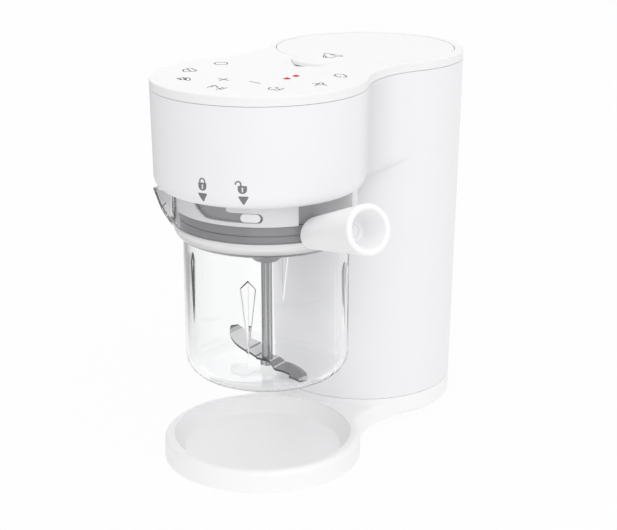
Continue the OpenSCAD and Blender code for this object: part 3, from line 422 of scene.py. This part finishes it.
finishes = {
    white_shell: "body_shell cord_gland lock_lugs",
    white_base: "base_shell handle handle_screw",
    white_panel: "top_panel tank_lid",
    white_track: "lock_tracks",
    grey_socket: "bayonet_socket socket_seal",
    grey_lid: "jar_lid",
    gasket_rubber: "lid_gasket lid_seal",
    black_rubber: "foot_rings motor_dampers pump_mount",
    black_plastic: "chassis drive_coupling driven_coupling water_pump reed_switch thermal_cutout",
    hose_silicone: "feed_hose delivery_hose steam_hose",
    mineral_board: "boiler_mount",
    ferrite: "motor_magnets",
    jar_plastic: "jar",
    tank_plastic: "water_tank",
    steel_shaft: "blade_shaft blade_nut steam_nozzle",
    steel_blade: "blade",
    screw_zinc: "base_screws chassis_screws board_screws motor_screws socket_screws",
    motor_steel: "motor_can motor_mount interlock_magnet",
    copper: "armature",
    brass: "shaft_bush touch_springs",
    boiler_cast: "steam_boiler",
    board_green: "control_board power_board",
    red_light: "light_pipes",
}
for finish, names in finishes.items():
    for name in names.split():
        nodes[name].data.materials.clear()
        nodes[name].data.materials.append(finish)


# The rising wing's two bends, and by how much each lets the wing's slope down
wing_bends = ((-12 * MM, 0.143), (-26 * MM, 0.057))


def bent_blade():
    """The blade with its rising wing set lower, as in the photograph."""
    mesh = nodes["blade"].data.copy()
    for corner in mesh.vertices:
        for bend, slope in wing_bends:
            corner.co.z -= slope * max(0.0, bend - corner.co.x)
    mesh.update()
    piece = put("bent_blade", mesh)
    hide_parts("blade")
    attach(piece, "blade_rotor")


bent_blade()


# Printed symbols

line_width = 0.75 * MM
line_film = 0.06 * MM
ink_film = 0.05 * MM
ink_sink = 0.04 * MM


def line_tree():
    """A flat printed line of a given width and film thickness along every curve."""
    tree = bpy.data.node_groups.new("printed_line", "GeometryNodeTree")
    face = tree.interface
    face.new_socket("Geometry", in_out="INPUT", socket_type="NodeSocketGeometry")
    for label in ("Line Width", "Film Thickness"):
        face.new_socket(label, in_out="INPUT", socket_type="NodeSocketFloat")
    face.new_socket("Ink", in_out="INPUT", socket_type="NodeSocketMaterial")
    face.new_socket("Geometry", in_out="OUTPUT", socket_type="NodeSocketGeometry")
    start = tree.nodes.new("NodeGroupInput")
    end = tree.nodes.new("NodeGroupOutput")
    upright = tree.nodes.new("GeometryNodeSetCurveNormal")
    upright.mode = "Z_UP"
    section = tree.nodes.new("GeometryNodeCurvePrimitiveQuadrilateral")
    sweep = tree.nodes.new("GeometryNodeCurveToMesh")
    realize = tree.nodes.new("GeometryNodeRealizeInstances")
    paint = tree.nodes.new("GeometryNodeSetMaterial")
    link = tree.links.new
    link(start.outputs["Geometry"], upright.inputs["Curve"])
    link(start.outputs["Line Width"], section.inputs["Width"])
    link(start.outputs["Film Thickness"], section.inputs["Height"])
    link(upright.outputs["Curve"], sweep.inputs["Curve"])
    link(section.outputs["Curve"], sweep.inputs["Profile Curve"])
    sweep.inputs["Fill Caps"].default_value = True
    link(sweep.outputs["Mesh"], realize.inputs["Geometry"])
    link(realize.outputs["Geometry"], paint.inputs["Geometry"])
    link(start.outputs["Ink"], paint.inputs["Material"])
    link(paint.outputs["Geometry"], end.inputs["Geometry"])
    return tree


printed_line = line_tree()


def print_lines(name, strokes, body):
    """Prints strokes, each a list of points and whether it closes, as one mesh on a body."""
    curve = bpy.data.curves.new(name, "CURVE")
    curve.dimensions = "3D"
    for points, closed in strokes:
        spline = curve.splines.new("POLY")
        spline.points.add(len(points) - 1)
        spline.use_cyclic_u = closed
        for target, point in zip(spline.points, points):
            target.co = (*point, 1.0)
    drawing = put(name + "_drawing", curve)
    modifier = drawing.modifiers.new("print", "NODES")
    modifier.node_group = printed_line
    sockets = {s.name: s.identifier for s in printed_line.interface.items_tree
               if s.in_out == "INPUT"}
    modifier[sockets["Line Width"]] = line_width
    modifier[sockets["Film Thickness"]] = line_film
    modifier[sockets["Ink"]] = ink_grey
    seen = drawing.evaluated_get(bpy.context.evaluated_depsgraph_get())
    mesh = bpy.data.meshes.new_from_object(seen)
    bpy.data.objects.remove(drawing)
    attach(put(name, mesh), body)


def arc(centre, radius, first, last, steps=14, squash=1.0):
    """Points on part of a circle, angles in degrees."""
    turn = [math.radians(first + (last - first) * k / steps) for k in range(steps + 1)]
    return [(centre[0] + radius * math.cos(a), centre[1] + radius * squash * math.sin(a))
            for a in turn]


def full_circle(centre, radius, steps=20):
    return arc(centre, radius, 0, 360 * (1 - 1 / steps), steps - 1)


# Each icon is its centre and a list of strokes, all in millimetres
icons = {
    "pill": ((-43.4, 19.5), [
        ([(-3.5, -2.3), (-4.5, 0.1), (-4.3, 1.8), (0.0, 4.6), (1.6, 4.1), (3.6, 2.4), (4.5, 0.0),
          (4.5, -1.8), (0.3, -4.6), (-1.3, -4.2)], True),
    ]),
    "leaf": ((-45.5, -10.3), [
        ([(-2.8, -3.1), (-4.7, 0.3), (-4.2, 2.1), (-4.1, 4.8), (-2.6, 5.5), (0.3, 4.2),
          (4.1, 2.0), (4.8, -1.6), (2.5, -3.7), (0.1, -5.5)], True),
        ([(-4.8, 3.2), (-1.5, 0.9), (1.8, -1.2)], False),
    ]),
    "bean": ((-29.9, -34.1), [
        ([(-5.2, -1.9), (-4.3, 2.5), (-1.9, 2.2), (1.2, -2.4), (-1.0, -4.1)], True),
        ([(-4.5, -0.4), (-0.9, -3.2)], False),
        ([(-3.2, 1.8), (0.8, -2.1)], False),
        ([(1.0, -1.4), (-2.3, 4.1), (0.2, 3.0), (3.1, 0.5), (5.2, -3.5), (3.2, -3.2)], True),
    ]),
    "cross": ((-9.8, -23.5), [
        ([(-4.5, 1.2), (4.5, -0.5)], False),
        ([(0.1, -4.2), (0.0, 4.2)], False),
    ]),
    "plus": ((1.7, -45.5), [
        ([(-4.8, -3.0), (-4.7, 0.4), (-5.8, 4.2), (-4.9, 4.8), (-2.0, 2.7), (0.9, 0.0)], False),
        ([(-4.1, -0.1), (-3.0, 1.6)], False),
        ([(3.3, -4.8), (3.9, -2.1), (2.3, 2.5), (5.3, 0.6), (5.6, 3.1)], False),
        ([(2.5, -1.5), (5.8, -3.2), (4.8, 1.6)], False),
    ]),
    "minus": ((11.3, -20.4), [
        ([(-4.6, 0.9), (4.6, -0.9)], False),
    ]),
    "cup": ((32.1, -29.2), [
        ([(-4.0, 1.6), (-4.3, -0.1), (-3.5, -2.3), (-1.6, -3.7), (0.1, -3.5), (2.4, -3.8),
          (4.3, -3.1), (4.1, 0.1), (3.8, 3.4)], False),
        ([(-1.8, 1.9), (-1.6, 3.8), (0.2, 2.6)], False),
        ([(1.1, -1.9), (0.9, 0.6), (3.5, -0.7)], False),
    ]),
    "fan": ((46.8, -4.2), [
        ([(-5.4, 0.0), (-4.2, 1.5), (-1.3, 0.2)], False),
        ([(-0.1, -4.8), (-1.7, 0.3), (-2.7, 4.6), (-1.0, 4.8), (0.9, 2.4), (1.7, -1.2),
          (-1.2, 0.0)], False),
        ([(0.5, 1.8), (5.4, -0.8)], False),
    ]),
    "pot": ((42.3, 25.8), [
        ([(4.0, -3.6), (5.0, -2.3), (4.3, 0.2), (1.7, 2.4), (-1.4, 4.9), (-5.0, 2.6),
          (-3.5, -1.7), (-0.6, -3.4), (2.5, -4.9), (1.1, -1.7)], False),
    ]),
    "first_light": ((20.4, 0.1), [
        (full_circle((0, 0), 1.9), True),
    ]),
    "second_light": ((20.2, 10.1), [
        (full_circle((0, 0), 1.9), True),
    ]),
}
fill_icon = ((-0.7, 80.9), [
    ([(-0.8, -6.7), (-8.1, 6.2), (-4.5, 6.7), (1.0, 4.6), (6.2, 5.0), (8.1, 1.8), (4.3, 0.4),
      (4.8, -3.4), (2.8, -6.2)], True),
    ([(-3.4, -1.3), (-1.8, -2.1), (1.4, -6.4)], False),
    ([(-2.7, 4.8), (1.8, 3.2)], False),
])


def on_top(centre, strokes):
    """Strokes of an icon, moved onto the top of the panel or lid."""
    level = panel_top + line_film / 2
    return [([((centre[0] + x) * MM, (centre[1] + y) * MM, level) for x, y in points], closed)
            for points, closed in strokes]


panel_strokes = [stroke for icon in icons.values() for stroke in on_top(*icon)]
print_lines("panel_icons", panel_strokes, "housing")
print_lines("fill_icon", on_top(*fill_icon), "tank_cover")


# Marks on the head's front wall, in millimetres: u along the wall and v above the ground

shell = nodes["body_shell"].data
shell_skin = BVHTree.FromPolygons([v.co for v in shell.vertices],
                                  [p.vertices for p in shell.polygons])


def on_wall(azimuth, u, v, lift):
    """The point of the wall at u and v, lifted off it by some metres."""
    a = math.radians(azimuth) + u * MM / head_radius
    outward = Vector((math.sin(a), -math.cos(a), 0.0))
    start = outward * (1.2 * head_radius) + Vector((0.0, 0.0, v * MM))
    place = shell_skin.ray_cast(start, -outward)[0]
    return place + outward * lift


def span_at(outline, v):
    """The two ends of a convex outline at one level."""
    ends = []
    for k, (u0, v0) in enumerate(outline):
        u1, v1 = outline[(k + 1) % len(outline)]
        if min(v0, v1) <= v <= max(v0, v1):
            ends += [u0, u1] if v0 == v1 else [u0 + (u1 - u0) * (v - v0) / (v1 - v0)]
    return min(ends), max(ends)


def wall_patch(made, azimuth, outline, top, step=0.35, columns=6):
    """A filled mark on the wall, from a convex outline, laid in level rows."""
    low, high = min(v for u, v in outline), max(v for u, v in outline)
    count = math.ceil((high - low) / step)
    layers = []
    for lift in (-ink_sink, top):
        grid = []
        for j in range(count + 1):
            v = min(low + (high - low) * j / count, high)
            first, last = span_at(outline, v)
            places = [first + (last - first) * k / columns for k in range(columns + 1)]
            grid.append([made.verts.new(on_wall(azimuth, u, v, lift)) for u in places])
        layers.append(grid)
    under, over = layers
    for j in range(count):
        for k in range(columns):
            for grid in layers:
                made.faces.new((grid[j][k], grid[j][k + 1], grid[j + 1][k + 1], grid[j + 1][k]))
        for k in (0, columns):
            made.faces.new((under[j][k], under[j + 1][k], over[j + 1][k], over[j][k]))
    for k in range(columns):
        for j in (0, count):
            made.faces.new((under[j][k], under[j][k + 1], over[j][k + 1], over[j][k]))


def wall_band(made, azimuth, inner, outer, top):
    """A band on the wall between two lines of as many points."""
    rows = []
    for (iu, iv), (ou, ov) in zip(inner, outer):
        corners = ((iu, iv, -ink_sink), (ou, ov, -ink_sink), (ou, ov, top), (iu, iv, top))
        rows.append([made.verts.new(on_wall(azimuth, *c)) for c in corners])
    for row, following in zip(rows, rows[1:]):
        for k in range(4):
            n = (k + 1) % 4
            made.faces.new((row[k], row[n], following[n], following[k]))
    made.faces.new(rows[0][::-1])
    made.faces.new(rows[-1])


def rounded(corners, radius, steps=5):
    """A convex outline with its corners rounded, listed the same way round."""
    outline = []
    for k, corner in enumerate(corners):
        here = Vector(corner)
        before = (Vector(corners[k - 1]) - here).normalized()
        after = (Vector(corners[(k + 1) % len(corners)]) - here).normalized()
        half = before.angle(after) / 2
        start = here + before * (radius / math.tan(half))
        end = here + after * (radius / math.tan(half))
        centre = here + (before + after).normalized() * (radius / math.sin(half))
        for j in range(steps + 1):
            ray = (start - centre).lerp(end - centre, j / steps).normalized()
            outline.append(tuple(centre + ray * radius))
    return outline


def triangle_mark(made, azimuth):
    """A triangle that points down to the bayonet."""
    corners = [(-3.4, 191.3), (0.0, 185.5), (3.4, 191.3)]
    wall_patch(made, azimuth, rounded(corners, 0.45), ink_film)


lock_half = 2.75
lock_top = 197.6
shackle_foot = 197.4
shackle_free = 198.2
shackle_level = 198.5
shackle_radii = (1.2, 2.08)
shackle_shift = -2.5


def padlock_mark(made, azimuth, opened):
    """A padlock's body and shackle. An open one has its shackle turned out over the left corner."""
    top_corners = [(lock_half, lock_top), (-lock_half, lock_top)]
    round_foot = arc((0, 195.4), lock_half, 180, 360, 14, 0.96)
    wall_patch(made, azimuth, top_corners + round_foot, ink_film)
    middle = shackle_shift if opened else 0.0
    free_end = shackle_free if opened else shackle_foot
    inner, outer = [
        [(middle + r, shackle_foot)] + arc((middle, shackle_level), r, 0, 180, 12)
        + [(middle - r, free_end)] for r in shackle_radii]
    wall_band(made, azimuth, inner, outer, ink_film)


def keyhole_mark(made, azimuth):
    """A keyhole, printed over a padlock's body."""
    slot = [(-0.28, 196.0), (-0.38, 193.9), (0.48, 193.9), (0.38, 196.0)]
    wall_patch(made, azimuth, full_circle((0.05, 196.05), 0.62, 12), 2 * ink_film)
    wall_patch(made, azimuth, slot, 2 * ink_film)


def make_piece(name, finish, draw, body):
    """Makes one piece of what a function draws, and lets it ride on a body."""
    made = bmesh.new()
    draw(made)
    bmesh.ops.remove_doubles(made, verts=made.verts, dist=0.001 * MM)
    bmesh.ops.dissolve_degenerate(made, dist=0.001 * MM, edges=made.edges)
    bmesh.ops.recalc_face_normals(made, faces=made.faces)
    mesh = bpy.data.meshes.new(name)
    made.to_mesh(mesh)
    made.free()
    mesh.materials.append(finish)
    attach(put(name, mesh), body)


# Azimuths on the head, in degrees
closed_at = 4.55
open_at = 26.25
open_triangle_at = open_at + 0.5


def lock_marks(made):
    triangle_mark(made, closed_at)
    triangle_mark(made, open_triangle_at)
    padlock_mark(made, closed_at, False)
    padlock_mark(made, open_at, True)


def keyholes(made):
    keyhole_mark(made, closed_at)
    keyhole_mark(made, open_at)


make_piece("lock_marks", mark_grey, lock_marks, "housing")
make_piece("lock_keyholes", white_shell, keyholes, "housing")


# Small trim

lens_radius = 1.65 * MM
lens_flatness = 0.45
plug_radius = 3.95 * MM
plug_depth = 0.8 * MM
plug_seat = 0.9 * MM


def light_lenses(made):
    """Low red domes over the two light pipes."""
    for name in ("first_light", "second_light"):
        x, y = icons[name][0]
        ball = bmesh.ops.create_uvsphere(made, u_segments=20, v_segments=10, radius=lens_radius)
        for corner in ball["verts"]:
            level = max(corner.co.z * lens_flatness, -ink_sink)
            corner.co = (x * MM + corner.co.x, y * MM + corner.co.y, panel_top + level)


def handle_plug(made):
    """A white disc over the screw hole in the handle's cup."""
    disc = bmesh.ops.create_cone(made, cap_ends=True, segments=32, radius1=plug_radius,
                                 radius2=plug_radius, depth=plug_depth)
    turn = handle_axis.to_track_quat("Z", "Y")
    for corner in disc["verts"]:
        corner.co = turn @ corner.co + cup_floor - handle_axis * plug_seat


make_piece("light_lenses", red_light, light_lenses, "housing")
make_piece("handle_plug", white_base, handle_plug, "jar_assembly")


# Floor, light and camera

floor_size = 6.0
floor_gap = 0.05 * MM

# The floor's own glow, and how much more of it shows to the camera and in gloss and glass
floor_glow = 0.42
shown_glow = 0.52

# Left of this line, gloss and glass see the floor darker, as with a dark card in a studio
card_from = -0.14
card_slope = 6
card_least = 0.45


def studio_floor():
    """A white floor that keeps a faint shadow."""
    paper = bpy.data.materials.new("floor_white")
    f = Graph(paper)
    camera_ray, glossy, passed = f.rays("Camera", "Glossy", "Transmission")
    shown = f.clamp(camera_ray + glossy + passed)
    mirrored = f.clamp(glossy + passed)
    across = f.dot(f.add("TexCoord", {}, {}, "Object"), picture_right)
    card = f.clamp((across - card_from) * card_slope + 1, card_least, 1.0)
    strength = 1 - mirrored * (1 - card)
    matt = f.add("BsdfDiffuse", {}, {"Color": rgb(0.93, 0.93, 0.93)})
    glow = f.add("Emission", {}, {"Color": rgb(1, 1, 1), "Strength": strength})
    share = floor_glow + shown * shown_glow
    surface = f.add("MixShader", {}, {0: share, 1: matt, 2: glow})
    f.add("OutputMaterial", {}, {"Surface": surface})
    mesh = bpy.data.meshes.new("floor")
    made = bmesh.new()
    bmesh.ops.create_grid(made, x_segments=1, y_segments=1, size=floor_size)
    made.to_mesh(mesh)
    made.free()
    mesh.materials.append(paper)
    floor = put("floor", mesh)
    floor.location.z = cad_box[0].z - floor_gap


def softbox(name, place, target, size, power):
    lamp = bpy.data.lights.new(name, "AREA")
    lamp.shape = "RECTANGLE"
    lamp.size, lamp.size_y = size
    lamp.energy = power
    box = put(name, lamp)
    box.location = place
    box.rotation_mode = "QUATERNION"
    box.rotation_quaternion = (Vector(target) - Vector(place)).to_track_quat("-Z", "Y")


# Directions from the object to the room
soft_centre = (0.29, -0.22, 0.57)
shade_centre = (0.8, 0.6, 0.0)
behind_centre = (-0.52, 0.79, -0.31)
above_centre = (-0.52, 0.79, 0.31)


def studio_world():
    """A white tent, brightest up at the front right. White shows behind the object.
    Gloss and glass see it greyer at the photograph's left, and bright behind and above."""
    world = bpy.data.worlds.new("studio")
    bpy.context.scene.world = world
    w = Graph(world)
    direction = w.add("TexCoord", {}, {}, "Generated")
    camera_ray, glossy, passed = w.rays("Camera", "Glossy", "Transmission")
    shade = w.clamp(w.dot(direction, shade_centre)) * 0.17
    soft = w.clamp(0.5 + w.dot(direction, soft_centre) - shade, 0.05, 1.4)
    side = w.clamp(0.7 + w.dot(direction, picture_right) * 0.9, 0.4, 1.1)
    behind = w.clamp(w.dot(direction, behind_centre) * 7.0 - 5.2)
    above = w.clamp(w.dot(direction, above_centre) * 4.0 - 2.4)
    sharp = side + (1 - side) * behind + (1.1 - side) * above
    mirrored = w.clamp(glossy + passed)
    room = soft + (sharp - soft) * mirrored
    strength = room + (1 - room) * camera_ray
    light = w.add("Background", {}, {"Color": rgb(1, 1, 1), "Strength": strength})
    w.add("OutputWorld", {}, {"Surface": light})


camera_place = Vector((0.52468, -0.74047, 0.41981))
camera_look = Vector((-0.52448, 0.79467, -0.30565))

studio_floor()
studio_world()
middle = (cad_box[0] + cad_box[1]) / 2
softbox("top_light", (0.1, -0.1, 1.4), middle, (1.2, 1.2), 0.5)
softbox("key_light", (1.05, -0.55, 1.15), middle, (1.1, 1.1), 2.8)

camera = put("camera", bpy.data.cameras.new("camera"))
camera.data.sensor_fit = "HORIZONTAL"
camera.data.sensor_width = 36.0
camera.data.lens = 87.75
camera.location = camera_place
camera.rotation_mode = "QUATERNION"
camera.rotation_quaternion = camera_look.to_track_quat("-Z", "Y")
bpy.context.scene.camera = camera
bpy.context.scene.view_settings.view_transform = "Standard"
